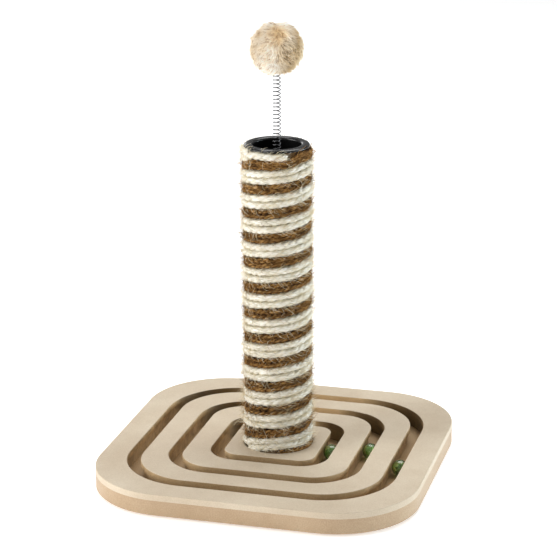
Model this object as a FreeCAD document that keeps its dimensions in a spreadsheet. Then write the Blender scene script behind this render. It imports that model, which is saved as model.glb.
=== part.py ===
import FreeCAD, Part
import math
import os
import Sketcher

# Cat scratcher: a square play base with three marble tracks, a post wound with four ropes,
# and a plush ball that sways on a coil spring.
# Millimetres, +Z up, the origin on the floor under the middle of the base.

# Driving dimensions
SIZES = {
    # Base board with its tracks, and the thin panels glued on top of it
    "base_side": 310.0,
    "base_corner_radius": 79.0,
    "board_floor": 2.4,
    "board_edge_chamfer": 1.0,
    "panel_thickness": 6.0,
    "panel_edge_round": 0.8,
    "rim_extra": 2.5,
    "centre_less": 0.6,
    "slot_width": 13.0,
    "inner_track_corner": 21.0,
    "middle_track_corner": 40.0,
    "outer_track_corner": 63.0,
    "track_play": 2.5,
    # Glass marbles, one to a track, held captive under the slots
    "marble_diameter": 15.5,
    "marble_floor_gap": 0.2,
    "marble_slot_gap": 0.3,
    "outer_marble_place": -13.0,
    "middle_marble_place": 20.0,
    "inner_marble_place": 8.0,
    # Pads under the four corners
    "pad_diameter": 24.0,
    "pad_thickness": 2.0,
    "pad_edge_round": 0.5,
    "pad_inset": 40.0,
    # Cardboard tube of the post, with the plug in its foot
    "tube_diameter": 53.0,
    "tube_wall": 2.0,
    "tube_length": 299.0,
    "plug_thickness": 20.0,
    "plug_gap": 0.2,
    "plug_chamfer": 1.5,
    # Bolt, washer and tee nut that hold the post down
    "bolt_diameter": 8.0,
    "bolt_hole_gap": 0.3,
    "bolt_end": 3.0,
    "bolt_head_flats": 13.0,
    "bolt_head_height": 5.3,
    "bolt_head_recess": 0.7,
    "washer_diameter": 24.0,
    "washer_thickness": 2.0,
    "washer_gap": 1.0,
    "nut_flange_diameter": 22.0,
    "nut_flange_thickness": 1.6,
    "nut_barrel_wall": 0.9,
    "nut_barrel_length": 9.0,
    "nut_barrel_gap": 0.2,
    "nut_thread_gap": 0.1,
    # Ropes wound side by side, and the staples that hold their ends
    "rope_diameter": 5.5,
    "rope_gap": 0.475,
    "rope_tube_gap": 0.3,
    "rope_end_gap": 0.3,
    "rope_end_angle": 300.0,
    "post_seat_gap": 1.3,
    "staple_crown": 4.4,
    "staple_wire": 0.7,
    "staple_point_gap": 0.3,
    "staple_sink": 0.3,
    "staple_setback": 3.0,
    # Moulded cap with the cup that the spring stands in
    "cap_overhang": 4.25,
    "cap_flange_thickness": 3.0,
    "cap_flange_round": 1.3,
    "cap_wall": 1.8,
    "cap_gap": 0.2,
    "cap_floor": 2.2,
    "cup_depth": 30.0,
    "cup_mouth_round": 1.0,
    "cup_foot_round": 3.0,
    "stud_height": 12.0,
    "stud_gap": 0.15,
    "stud_chamfer": 0.8,
    # Spring and plush ball
    "spring_diameter": 7.8,
    "spring_wire": 0.9,
    "spring_pitch": 3.6,
    "spring_end_gap": 0.1,
    "spring_reach": 65.0,
    "socket_depth": 14.0,
    "socket_gap": 0.3,
    "ball_diameter": 46.0,
    "ball_cover": 4.0,
    "ball_cover_gap": 0.2,
}
ROPES = ("brown_rope_lower", "brown_rope_upper", "white_rope_lower", "white_rope_upper")
FRONT_ROPE = "white_rope_lower"  # the one whose upper end lies at rope_end_angle
TRACKS = ("inner", "middle", "outer")
CORNERS = {"front_left": (-1, -1), "front_right": (1, -1), "back_left": (-1, 1), "back_right": (1, 1)}

doc = FreeCAD.newDocument("cat_scratcher")
sheet = doc.addObject("Spreadsheet::Sheet", "Sizes")
for row, (alias, number) in enumerate(SIZES.items(), 1):
    sheet.set(f"A{row}", alias)
    sheet.set(f"B{row}", str(number))
    sheet.setAlias(f"B{row}", alias)
doc.recompute()


def sized(text):
    """Returns an expression with each size's name turned into its cell of the sheet."""
    words = []
    for word in text.replace("(", "( ").replace(")", " )").replace(";", " ;").split():
        words.append(f"Sizes.{word}" if word in SIZES else word)
    return "(" + " ".join(words) + ")"


def value(text):
    """Returns what an expression comes to with the sheet's present sizes."""
    return float(sheet.evalExpression(sized(text)))


# Heights and fits that follow from the driving dimensions
MARBLE_RADIUS = "( marble_diameter / 2 )"
SLOT_CLEAR = "( slot_width / 2 - marble_slot_gap )"
MARBLE_RISE = f"sqrt( max( {MARBLE_RADIUS} ^ 2 - {SLOT_CLEAR} ^ 2 ; 0 ) )"
MARBLE_LEVEL = f"( pad_thickness + board_floor + marble_floor_gap + {MARBLE_RADIUS} )"
TRACK_DEPTH = f"( marble_floor_gap + {MARBLE_RADIUS} + {MARBLE_RISE} )"
BOARD_THICKNESS = f"( board_floor + {TRACK_DEPTH} )"
BOARD_TOP = f"( pad_thickness + {BOARD_THICKNESS} )"
TUBE_TOP = f"( {BOARD_TOP} + tube_length )"
CAP_TOP = f"( {TUBE_TOP} + cap_flange_thickness )"
CUP_FLOOR = f"( {CAP_TOP} - cup_depth )"
BALL_FOOT = f"( {CAP_TOP} + spring_reach )"
TUBE_BORE = "( tube_diameter / 2 - tube_wall )"
ROPE_LINE = "( tube_diameter / 2 + rope_tube_gap + rope_diameter / 2 )"
POST_SEAT = f"( {ROPE_LINE} + rope_diameter / 2 + post_seat_gap )"
NUT_BORE = "( bolt_diameter / 2 + nut_thread_gap )"
NUT_BARREL = f"( {NUT_BORE} + nut_barrel_wall )"
HEAD_POCKET = "( washer_thickness + bolt_head_height + bolt_head_recess )"
SOCKET_RADIUS = "( spring_diameter / 2 + socket_gap )"
# What the post and the slots leave of the base is shared by two rings, the rim, which is wider by rim_extra,
# and the wood round the post, which is half a ring less centre_less
WOOD_LEFT = f"( base_side / 2 - {POST_SEAT} - {len(TRACKS)} * slot_width )"
RING_WIDTH = f"( ( {WOOD_LEFT} - rim_extra + centre_less ) / ( {len(TRACKS)} + 1 / 2 ) )"
INNER_REACH = f"( {POST_SEAT} + {RING_WIDTH} / 2 - centre_less + slot_width / 2 )"
TRACK_REACH = {name: f"( {INNER_REACH} + {index} * ( {RING_WIDTH} + slot_width ) )"
               for index, name in enumerate(TRACKS)}


def new_body(label, height="0"):
    """Starts a sub-part whose own zero level stands at the given height."""
    body = doc.addObject("PartDesign::Body", label)
    body.Label = label
    body.setExpression("Placement.Base.z", sized(height))
    return body


def new_sketch(body, role, height="0"):
    """Starts a sketch on one of the body's origin planes, raised to a height above it."""
    sketch = body.newObject("Sketcher::SketchObject", f"{body.Name}_sketch")
    plane = next(feature for feature in body.Origin.OriginFeatures if feature.Role == role)
    sketch.AttachmentSupport = (plane, [""])
    sketch.MapMode = "FlatFace"
    sketch.setExpression("AttachmentOffset.Base.z", sized(height))
    return sketch


def bound(sketch, constraint, text):
    """Adds a constraint whose value follows an expression."""
    index = sketch.addConstraint(constraint)
    sketch.setExpression(f"Constraints[{index}]", sized(text))


def draw_rounded_square(sketch, reach, corner):
    """Draws a centred square with round corners, of a half side and a corner radius."""
    half = value(reach)
    radius = value(corner)
    first = sketch.GeometryCount
    up = FreeCAD.Vector(0, 0, 1)
    for quarter, (across, along) in enumerate(((1, 1), (-1, 1), (-1, -1), (1, -1))):
        centre = FreeCAD.Vector(across * (half - radius), along * (half - radius), 0)
        start = quarter * math.pi / 2
        sketch.addGeometry(Part.ArcOfCircle(Part.Circle(centre, up, radius), start, start + math.pi / 2))
    for quarter in range(4):
        start = sketch.Geometry[first + quarter].EndPoint
        end = sketch.Geometry[first + (quarter + 1) % 4].StartPoint
        sketch.addGeometry(Part.LineSegment(start, end))
    for quarter in range(4):
        line = first + 4 + quarter
        sketch.addConstraint(Sketcher.Constraint("Tangent", first + quarter, 2, line, 1))
        sketch.addConstraint(Sketcher.Constraint("Tangent", line, 2, first + (quarter + 1) % 4, 1))
        sketch.addConstraint(Sketcher.Constraint("Vertical" if quarter % 2 else "Horizontal", line))
        if quarter:
            sketch.addConstraint(Sketcher.Constraint("Equal", first, first + quarter))
    bound(sketch, Sketcher.Constraint("Radius", first, radius), corner)
    for quarter, (kind, side) in enumerate((("Y", 1), ("X", -1), ("Y", -1), ("X", 1))):
        line = first + 4 + quarter
        constraint = Sketcher.Constraint(f"Distance{kind}", -1, 1, line, 1, side * half)
        bound(sketch, constraint, f"{side} * {reach}")


def draw_circle(sketch, radius):
    """Draws a circle round the sketch's origin."""
    middle = FreeCAD.Vector(0, 0, 0)
    index = sketch.addGeometry(Part.Circle(middle, FreeCAD.Vector(0, 0, 1), value(radius)))
    sketch.addConstraint(Sketcher.Constraint("Coincident", index, 3, -1, 1))
    bound(sketch, Sketcher.Constraint("Radius", index, value(radius)), radius)


def draw_outline(sketch, corners):
    """Draws a closed outline of straight lines whose corners follow pairs of expressions."""
    places = [FreeCAD.Vector(value(across), value(along), 0) for across, along in corners]
    first = sketch.GeometryCount
    for index, start in enumerate(places):
        sketch.addGeometry(Part.LineSegment(start, places[(index + 1) % len(places)]))
    for index, (across, along) in enumerate(corners):
        line = first + index
        sketch.addConstraint(Sketcher.Constraint("Coincident", line, 2, first + (index + 1) % len(places), 1))
        bound(sketch, Sketcher.Constraint("DistanceX", -1, 1, line, 1, places[index].x), across)
        bound(sketch, Sketcher.Constraint("DistanceY", -1, 1, line, 1, places[index].y), along)


def add_pad(body, sketch, length):
    """Raises a sketch into a slab."""
    pad = body.newObject("PartDesign::Pad", f"{body.Name}_pad")
    pad.Profile = sketch
    pad.setExpression("Length", sized(length))
    doc.recompute()


def add_pocket(body, sketch, depth, upwards=False):
    """Cuts a sketch into the body, and stops where the cut removes nothing."""
    before = body.Shape.Volume
    pocket = body.newObject("PartDesign::Pocket", f"{body.Name}_pocket")
    pocket.Profile = sketch
    pocket.Reversed = upwards
    pocket.setExpression("Length", sized(depth))
    doc.recompute()
    if body.Shape.Volume >= before:
        raise RuntimeError(f"a pocket of {body.Label} cuts nothing")


def add_revolution(body, sketch):
    """Turns a sketch once round the upright axis."""
    revolution = body.newObject("PartDesign::Revolution", f"{body.Name}_revolution")
    revolution.Profile = sketch
    revolution.ReferenceAxis = (sketch, ["V_Axis"])
    revolution.Angle = 360
    doc.recompute()


def dress_edges(body, kind, size, chosen):
    """Rounds (Fillet) or bevels (Chamfer) the edges of the body that the test picks."""
    base = body.Tip
    names = [f"Edge{index}" for index, edge in enumerate(base.Shape.Edges, 1) if chosen(edge)]
    dress = body.newObject(f"PartDesign::{kind}", f"{body.Name}_{kind.lower()}")
    dress.Base = (base, names)
    dress.setExpression("Radius" if kind == "Fillet" else "Size", sized(size))
    doc.recompute()


NEAR = 0.01  # how far an edge may lie from the place it is looked for


def level_edge(height):
    """Returns a test for edges that lie at one height of the body."""
    level = value(height)
    return lambda edge: max(abs(edge.BoundBox.ZMin - level), abs(edge.BoundBox.ZMax - level)) < NEAR


def ring_edge(radius, height):
    """Returns a test for the circle of one radius at one height of the body."""
    level = level_edge(height)
    across = 2 * value(radius)
    return lambda edge: level(edge) and abs(edge.BoundBox.XLength - across) < NEAR


def turned(label, height, corners):
    """Makes a round piece by turning an outline of radius and height round the upright axis."""
    body = new_body(label, height)
    sketch = new_sketch(body, "XZ_Plane")
    draw_outline(sketch, corners)
    add_revolution(body, sketch)
    return body


# Base board: three milled tracks on top, and the bolt's hole with its pocket underneath
board = new_body("base_board", "pad_thickness")
outline = new_sketch(board, "XY_Plane")
draw_rounded_square(outline, "base_side / 2", "base_corner_radius")
add_pad(board, outline, BOARD_THICKNESS)
dress_edges(board, "Chamfer", "board_edge_chamfer", level_edge("0"))
for name in TRACKS:
    track = new_sketch(board, "XY_Plane", BOARD_THICKNESS)
    for side in (1, -1):
        wall = f"{side} * ( marble_diameter + track_play ) / 2"
        draw_rounded_square(track, f"( {TRACK_REACH[name]} + {wall} )", f"( {name}_track_corner + {wall} )")
    add_pocket(board, track, TRACK_DEPTH)
for radius, depth in (
    ("( washer_diameter / 2 + washer_gap )", HEAD_POCKET),
    ("( bolt_diameter / 2 + bolt_hole_gap )", BOARD_THICKNESS),
):
    hole = new_sketch(board, "XY_Plane")
    draw_circle(hole, radius)
    add_pocket(board, hole, depth, upwards=True)

# Top panels: the frame, two rings and the centre, parted by slots narrower than the marbles
PANELS = {"centre_panel": (None, "inner"), "inner_ring_panel": ("inner", "middle"),
          "outer_ring_panel": ("middle", "outer"), "frame_panel": ("outer", None)}
for label, (inside, outside) in PANELS.items():
    panel = new_body(label, BOARD_TOP)
    face = new_sketch(panel, "XY_Plane")
    if outside:
        reach = f"( {TRACK_REACH[outside]} - slot_width / 2 )"
        draw_rounded_square(face, reach, f"( {outside}_track_corner - slot_width / 2 )")
    else:
        draw_rounded_square(face, "base_side / 2", "base_corner_radius")
    if inside:
        reach = f"( {TRACK_REACH[inside]} + slot_width / 2 )"
        draw_rounded_square(face, reach, f"( {inside}_track_corner + slot_width / 2 )")
    else:
        draw_circle(face, POST_SEAT)
    add_pad(panel, face, "panel_thickness")
    dress_edges(panel, "Fillet", "panel_edge_round", level_edge("panel_thickness"))

# Marbles: glass balls on the right-hand runs of their tracks
for name in TRACKS:
    marble = doc.addObject("Part::Sphere", f"{name}_marble")
    marble.Label = f"{name}_marble"
    marble.setExpression("Radius", sized(MARBLE_RADIUS))
    marble.setExpression("Placement.Base.x", sized(TRACK_REACH[name]))
    marble.setExpression("Placement.Base.y", sized(f"{name}_marble_place"))
    marble.setExpression("Placement.Base.z", sized(MARBLE_LEVEL))

# Pads: stuck under the corners of the board
for name, (across, along) in CORNERS.items():
    pad = turned(f"pad_{name}", "0", (
        ("0", "0"), ("pad_diameter / 2", "0"),
        ("pad_diameter / 2", "pad_thickness"), ("0", "pad_thickness")))
    dress_edges(pad, "Fillet", "pad_edge_round", ring_edge("pad_diameter / 2", "0"))
    pad.setExpression("Placement.Base.x", sized(f"{across} * ( base_side / 2 - pad_inset )"))
    pad.setExpression("Placement.Base.y", sized(f"{along} * ( base_side / 2 - pad_inset )"))

# Post tube: cardboard, standing on the board inside the centre panel
turned("post_tube", BOARD_TOP, (
    (TUBE_BORE, "0"), ("tube_diameter / 2", "0"),
    ("tube_diameter / 2", "tube_length"), (TUBE_BORE, "tube_length")))

# Plug: a disc in the foot of the tube, counterbored for the tee nut
plug_radius = f"( {TUBE_BORE} - plug_gap )"
nut_pocket = f"( {NUT_BARREL} + nut_barrel_gap )"
nut_seat = "( plug_thickness - nut_barrel_length - nut_barrel_gap )"
plug_bore = "( bolt_diameter / 2 + bolt_hole_gap )"
plug = turned("post_plug", BOARD_TOP, (
    (plug_bore, "0"), (plug_radius, "0"), (plug_radius, "plug_thickness"),
    (nut_pocket, "plug_thickness"), (nut_pocket, nut_seat), (plug_bore, nut_seat)))
dress_edges(plug, "Chamfer", "plug_chamfer", ring_edge(plug_radius, "plug_thickness"))

# Tee nut: its flange lies on the plug and its barrel hangs in the counterbore
turned("tee_nut", f"{BOARD_TOP} + plug_thickness", (
    (NUT_BORE, "-1 * nut_barrel_length"), (NUT_BARREL, "-1 * nut_barrel_length"),
    (NUT_BARREL, "0"), ("nut_flange_diameter / 2", "0"),
    ("nut_flange_diameter / 2", "nut_flange_thickness"), (NUT_BORE, "nut_flange_thickness")))

# Washer and bolt: pulled up into the pocket under the board
washer_foot = f"( pad_thickness + {HEAD_POCKET} - washer_thickness )"
turned("bolt_washer", washer_foot, (
    (plug_bore, "0"), ("washer_diameter / 2", "0"),
    ("washer_diameter / 2", "washer_thickness"), (plug_bore, "washer_thickness")))
shank = doc.addObject("Part::Cylinder", "bolt_shank")
shank.setExpression("Radius", sized("bolt_diameter / 2"))
bolt_reach = f"{BOARD_TOP} + plug_thickness + nut_flange_thickness + bolt_end"
shank.setExpression("Height", sized(f"{bolt_reach} - {washer_foot}"))
head = doc.addObject("Part::Prism", "bolt_head")
head.Polygon = 6
head.setExpression("Circumradius", sized("bolt_head_flats / sqrt( 3 )"))
head.setExpression("Height", sized("bolt_head_height"))
head.setExpression("Placement.Base.z", sized("-1 * bolt_head_height"))
bolt = doc.addObject("Part::Fuse", "fixing_bolt")
bolt.Label = "fixing_bolt"
bolt.Base = shank
bolt.Tool = head
bolt.setExpression("Placement.Base.z", sized(washer_foot))

# Cap: a moulded flange over the tube's end, with a deep cup and a stud for the spring
cup_radius = f"( {TUBE_BORE} - cap_gap - cap_wall )"
flange_radius = "( tube_diameter / 2 + cap_overhang )"
skirt_radius = f"( {TUBE_BORE} - cap_gap )"
stud_radius = "( spring_diameter / 2 - spring_wire - stud_gap )"
cup_level = "( cap_flange_thickness - cup_depth )"
cap = turned("top_cap", TUBE_TOP, (
    ("0", f"{cup_level} - cap_floor"), (skirt_radius, f"{cup_level} - cap_floor"),
    (skirt_radius, "0"), (flange_radius, "0"),
    (flange_radius, "cap_flange_thickness"), (cup_radius, "cap_flange_thickness"),
    (cup_radius, cup_level), (stud_radius, cup_level),
    (stud_radius, f"{cup_level} + stud_height"), ("0", f"{cup_level} + stud_height")))
dress_edges(cap, "Fillet", "cap_flange_round", ring_edge(flange_radius, "cap_flange_thickness"))
dress_edges(cap, "Fillet", "cup_mouth_round", ring_edge(cup_radius, "cap_flange_thickness"))
dress_edges(cap, "Fillet", "cup_foot_round", ring_edge(cup_radius, cup_level))
dress_edges(cap, "Chamfer", "stud_chamfer", ring_edge(stud_radius, f"{cup_level} + stud_height"))


def helix_point(radius, pitch, turn):
    """Returns the place and the direction of a right-handed helix after some turns, from level zero."""
    angle = 2 * math.pi * turn
    place = FreeCAD.Vector(radius * math.cos(angle), radius * math.sin(angle), pitch * turn)
    slope = pitch / (2 * math.pi)
    return place, FreeCAD.Vector(-radius * math.sin(angle), radius * math.cos(angle), slope).normalize()


def tangent_arc(start, end, corner):
    """Returns the arc from start to end whose end tangents meet at corner."""
    middle = (start + end) * 0.5
    bend = (corner - start).getAngle(end - start)
    return Part.Arc(start, middle + (corner - middle) * (math.tan(bend / 2) / math.tan(bend)), end).toShape()


def biarc(start, start_way, end, end_way):
    """Returns two arcs that join two places and directions smoothly."""
    chord = end - start
    ways = start_way + end_way
    spread = 2 * (1 - start_way.dot(end_way))
    along = chord.dot(ways)
    reach = (math.sqrt(along ** 2 + spread * chord.dot(chord)) - along) / spread
    first_corner = start + start_way * reach
    last_corner = end - end_way * reach
    joint = (first_corner + last_corner) * 0.5
    return [tangent_arc(start, joint, first_corner), tangent_arc(joint, end, last_corner)]


PAIRS_PER_TURN = 4  # of arcs: fewer leave a wide helix by more than the ropes stand apart


def wound_tube(radius, pitch, first_turn, last_turn, diameter):
    """Returns one unbroken tube wound as a helix, with straight ends as long as it is thick."""
    pairs = math.ceil(PAIRS_PER_TURN * (last_turn - first_turn))
    step = (last_turn - first_turn) / pairs
    knots = [helix_point(radius, pitch, first_turn + step * index) for index in range(pairs + 1)]
    foot, foot_way = knots[0]
    tip, tip_way = knots[-1]
    edges = [Part.LineSegment(foot - foot_way * diameter, foot).toShape()]
    for (start, start_way), (end, end_way) in zip(knots, knots[1:]):
        edges += biarc(start, start_way, end, end_way)
    edges.append(Part.LineSegment(tip, tip + tip_way * diameter).toShape())
    section = Part.Wire(Part.Circle(foot - foot_way * diameter, foot_way, diameter / 2).toShape())
    return Part.Wire(edges).makePipeShell([section], True, False)


def least_gap(radius, pitch, turns, diameter):
    """Returns the least clear distance between a helix's turns, measured on points along it."""
    samples_per_turn = 36
    count = int(turns * samples_per_turn)
    places = [helix_point(radius, pitch, index / samples_per_turn)[0] for index in range(count)]
    far = samples_per_turn // 2
    return min((a - b).Length for index, a in enumerate(places) for b in places[index + far:]) - diameter


# Ropes: four, wound side by side up the tube from the board to the cap, each a turn's share ahead
rope_radius = value(ROPE_LINE)
rope_size = value("rope_diameter")
rope_step = rope_size + value("rope_gap")
rope_lead = rope_step * len(ROPES)
rope_turn_length = math.hypot(2 * math.pi * rope_radius, rope_lead)
rope_slope = rope_lead / rope_turn_length
rope_margin = value("rope_end_gap") + rope_size / 2 + rope_size * rope_slope
rope_foot = value(BOARD_TOP) + rope_margin
rope_head = value(TUBE_TOP) - rope_margin
rope_turns = (rope_head - rope_foot) / rope_lead
front_rope_start = value("rope_end_angle / 360") - rope_turns
rope_starts = {}
for index, label in enumerate(ROPES):
    ahead = (index - ROPES.index(FRONT_ROPE)) / len(ROPES)
    first_turn = (front_rope_start - ahead) % 1
    rope_starts[label] = first_turn
    rope = doc.addObject("Part::Feature", label)
    rope.Label = label
    rope.Shape = wound_tube(rope_radius, rope_lead, first_turn, first_turn + rope_turns, rope_size)
    rope.Placement.Base.z = rope_foot - rope_lead * first_turn
rope_side_gap = rope_step * math.sqrt(1 - rope_slope ** 2) - rope_size
print(f"rope: {rope_turns:.2f} turns, {rope_turns * rope_turn_length:.0f} mm long,"
      f" {rope_side_gap:.2f} mm from the next,"
      f" least gap to itself {least_gap(rope_radius, rope_lead, rope_turns, rope_size):.2f} mm")

# Staples: one across each rope near each of its ends, driven through it into the tube
crown = value("staple_crown")
wire = value("staple_wire")
crown_face = rope_radius + rope_size / 2 - value("staple_sink") + wire
leg = crown_face - value(f"{TUBE_BORE} + staple_point_gap")
blank = Part.makeBox(leg, wire, crown, FreeCAD.Vector(crown_face - leg, -wire / 2, -crown / 2))
opening = Part.makeBox(leg - wire, wire, crown - 2 * wire,
                       FreeCAD.Vector(crown_face - leg, -wire / 2, wire - crown / 2))
setback_turn = value("staple_setback") / rope_turn_length
staples = []
for label in ROPES:
    for turn in (rope_starts[label] + setback_turn, rope_starts[label] + rope_turns - setback_turn):
        staple = blank.cut(opening)
        staple.rotate(FreeCAD.Vector(0, 0, 0), FreeCAD.Vector(0, 0, 1), 360 * turn)
        staple.translate(FreeCAD.Vector(0, 0, rope_foot + rope_lead * (turn - rope_starts[label])))
        staples.append(staple)
rope_staples = doc.addObject("Part::Feature", "rope_staples")
rope_staples.Label = "rope_staples"
rope_staples.Shape = Part.makeCompound(staples)

# Spring: stands on the cup's floor round the stud, and ends in the ball's socket
spring_wire = value("spring_wire")
spring_radius = value("spring_diameter / 2") - spring_wire / 2
spring_pitch = value("spring_pitch")
spring_slope = spring_pitch / math.hypot(2 * math.pi * spring_radius, spring_pitch)
spring_margin = value("spring_end_gap") + spring_wire / 2 + spring_wire * spring_slope
spring_foot = value(CUP_FLOOR) + spring_margin
spring_head = value(f"{BALL_FOOT} + socket_depth") - spring_margin
spring_turns = (spring_head - spring_foot) / spring_pitch
spring = doc.addObject("Part::Feature", "spring")
spring.Label = "spring"
spring.Shape = wound_tube(spring_radius, spring_pitch, 0, spring_turns, spring_wire)
spring.Placement.Base.z = spring_foot
print(f"spring: {spring_turns:.2f} turns, least gap to itself"
      f" {least_gap(spring_radius, spring_pitch, spring_turns, spring_wire):.2f} mm")

# Plush ball: a stuffed core with a socket for the spring, inside a fur cover with a round neck
ball_radius = "( ball_diameter / 2 )"
core_radius = f"( {ball_radius} - ball_cover - ball_cover_gap )"


def add_ball(label, radius, cuts):
    """Makes a ball of the plush toy, less the shapes that the spring and the stuffing take up."""
    ball = doc.addObject("Part::Sphere", f"{label}_ball")
    ball.setExpression("Radius", sized(radius))
    shape = ball
    for index, tool in enumerate(cuts):
        cut = doc.addObject("Part::Cut", f"{label}_cut_{index}")
        cut.Base = shape
        cut.Tool = tool
        shape = cut
    shape.Label = label
    shape.setExpression("Placement.Base.z", sized(f"{BALL_FOOT} + {ball_radius}"))


def socket_tool(label, top):
    """Makes the round tool of the spring's socket, from below the ball up to a level of it."""
    tool = doc.addObject("Part::Cylinder", label)
    tool.setExpression("Radius", sized(SOCKET_RADIUS))
    tool.setExpression("Height", sized(f"{top} + ball_diameter"))
    tool.setExpression("Placement.Base.z", sized("-1 * ball_diameter"))
    return tool


stuffing_tool = doc.addObject("Part::Sphere", "stuffing_tool")
stuffing_tool.setExpression("Radius", sized(f"{ball_radius} - ball_cover"))
add_ball("ball_stuffing", core_radius, [socket_tool("stuffing_socket", f"socket_depth - {ball_radius}")])
add_ball("ball_cover", ball_radius, [stuffing_tool, socket_tool("cover_neck", "0")])
doc.recompute()

# Sub-parts that are written, by label
NODES = ["base_board", *PANELS, *(f"{name}_marble" for name in TRACKS), *(f"pad_{name}" for name in CORNERS),
         "post_tube", "post_plug", "tee_nut", "bolt_washer", "fixing_bolt", *ROPES, "rope_staples", "top_cap",
         "spring", "ball_stuffing", "ball_cover"]
for item in doc.Objects:
    if "Invalid" in item.State or "Error" in item.State:
        raise RuntimeError(f"{item.Label} failed: {item.State}")
shapes = {label: doc.getObjectsByLabel(label)[0].Shape for label in NODES}
for label, shape in shapes.items():
    if shape.isNull() or not shape.isValid() or not shape.Solids:
        raise RuntimeError(f"{label} has no valid solid")
os.makedirs("parts", exist_ok=True)
for label, shape in shapes.items():
    shape.exportStep(f"parts/{label}.step")
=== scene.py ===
import math

import bmesh
import bpy
from mathutils import Euler, Matrix, Vector, noise


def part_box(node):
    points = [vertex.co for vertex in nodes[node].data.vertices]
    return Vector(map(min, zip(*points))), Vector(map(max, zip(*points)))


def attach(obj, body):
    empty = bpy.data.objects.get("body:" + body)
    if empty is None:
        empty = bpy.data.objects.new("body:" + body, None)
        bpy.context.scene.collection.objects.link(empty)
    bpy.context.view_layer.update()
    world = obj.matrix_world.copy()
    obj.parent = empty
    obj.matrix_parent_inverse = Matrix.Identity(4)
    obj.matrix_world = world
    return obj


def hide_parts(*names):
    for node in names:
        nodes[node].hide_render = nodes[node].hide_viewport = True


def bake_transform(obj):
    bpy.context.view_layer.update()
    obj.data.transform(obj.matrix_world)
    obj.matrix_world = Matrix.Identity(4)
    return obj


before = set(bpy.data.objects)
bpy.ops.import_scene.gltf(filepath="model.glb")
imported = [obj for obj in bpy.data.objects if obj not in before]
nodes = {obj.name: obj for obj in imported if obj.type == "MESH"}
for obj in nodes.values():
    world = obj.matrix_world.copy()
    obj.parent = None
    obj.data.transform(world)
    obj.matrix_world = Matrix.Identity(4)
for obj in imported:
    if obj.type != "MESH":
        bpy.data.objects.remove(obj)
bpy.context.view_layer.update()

# Floor pads: four discs punched from dark foam rubber.
# They are glued under the corners of the board and keep it from sliding; only their rims show.
MM = 0.001


def colour(red, green, blue):
    """Turns a display colour of 0 to 255 into the linear colour that a shader takes."""
    shares = [part / 255 for part in (red, green, blue)]
    return (*(part / 12.92 if part < 0.04045 else ((part + 0.055) / 1.055) ** 2.4 for part in shares), 1.0)


def feed(value, socket):
    """Links a value to a socket."""
    socket.id_data.links.new(value, socket)


def add_node(tree, kind, inputs=(), **settings):
    """Adds a node with its settings; its inputs are plain values, sockets or other nodes' first outputs."""
    node = tree.nodes.new(kind)
    for label, setting in settings.items():
        setattr(node, label, setting)
    for label, value in dict(inputs).items():
        if isinstance(value, bpy.types.Node):
            value = value.outputs[0]
        if isinstance(value, bpy.types.NodeSocket):
            feed(value, node.inputs[label])
        else:
            node.inputs[label].default_value = value
    return node


def next_node(kind, inputs, **settings):
    """Adds a node to the tree that its inputs come from."""
    inputs = dict(inputs)
    tree = next(value.id_data for value in inputs.values() if isinstance(value, bpy.types.bpy_struct))
    return add_node(tree, kind, inputs, **settings)


def calc(operation, *values):
    """Adds one step of arithmetic and returns its result."""
    return next_node("ShaderNodeMath", enumerate(values), operation=operation).outputs[0]


def object_place(tree):
    """Returns where a spot of the surface lies."""
    return add_node(tree, "ShaderNodeTexCoord").outputs["Object"]


def noisy(place, fineness, detail, roughness=0.5, distortion=0.0):
    """Adds a pattern of soft random patches."""
    return next_node("ShaderNodeTexNoise", {
        "Vector": place, "Scale": fineness, "Detail": detail, "Roughness": roughness,
        "Distortion": distortion})


def ramp(value, stops):
    """Adds a colour ramp from pairs of place and colour."""
    node = next_node("ShaderNodeValToRGB", {"Fac": value})
    band = node.color_ramp.elements
    while len(band) < len(stops):
        band.new(1.0)
    for element, (place, tone) in zip(band, stops):
        element.position, element.color = place, tone
    return node.outputs["Color"]


def new_finish(label, **sockets):
    """Starts a material with plain values on its shader's own sockets."""
    material = bpy.data.materials.new(label)
    material.use_nodes = True
    shader = material.node_tree.nodes["Principled BSDF"]
    for name, value in sockets.items():
        shader.inputs[name.replace("_", " ")].default_value = value
    return material, material.node_tree, shader


def raise_surface(shader, height, depth, strength):
    """Lets a pattern raise the surface by a depth in metres."""
    bump = next_node("ShaderNodeBump", {"Height": height, "Distance": depth, "Strength": strength})
    feed(bump.outputs["Normal"], shader.inputs["Normal"])


def new_effect(label, inputs, outputs):
    """Starts a shader group with named number inputs and outputs, and returns it with both ends."""
    group = bpy.data.node_groups.new(label, "ShaderNodeTree")
    for name, value in inputs.items():
        group.interface.new_socket(name, in_out="INPUT", socket_type="NodeSocketFloat").default_value = value
    for name in outputs:
        group.interface.new_socket(name, in_out="OUTPUT", socket_type="NodeSocketFloat")
    return group, group.nodes.new("NodeGroupInput").outputs, group.nodes.new("NodeGroupOutput").inputs


def use_effect(tree, group, **values):
    """Places a shader group in a material with its own values."""
    node = add_node(tree, "ShaderNodeGroup", node_tree=group)
    for name, value in values.items():
        node.inputs[name.replace("_", " ")].default_value = value
    return node.outputs


def dress(material, *names):
    """Gives nodes of the frame a finish."""
    for name in names:
        nodes[name].data.materials.clear()
        nodes[name].data.materials.append(material)


# Pressed fibre, as in board, card and foam: fine flecks and wide soft clouds
pressed_fibre, fibre_in, fibre_out = new_effect(
    "pressed_fibre", {"Fleck Size": 1 * MM, "Cloud Size": 40 * MM}, ("Fleck", "Cloud"))
fibre_place = object_place(pressed_fibre)
for name, detail in (("Fleck", 4.0), ("Cloud", 3.0)):
    fineness = calc("DIVIDE", 1.0, fibre_in[f"{name} Size"])
    speckle = noisy(fibre_place, fineness, detail, roughness=0.6)
    feed(speckle.outputs[0], fibre_out[name])


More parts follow.
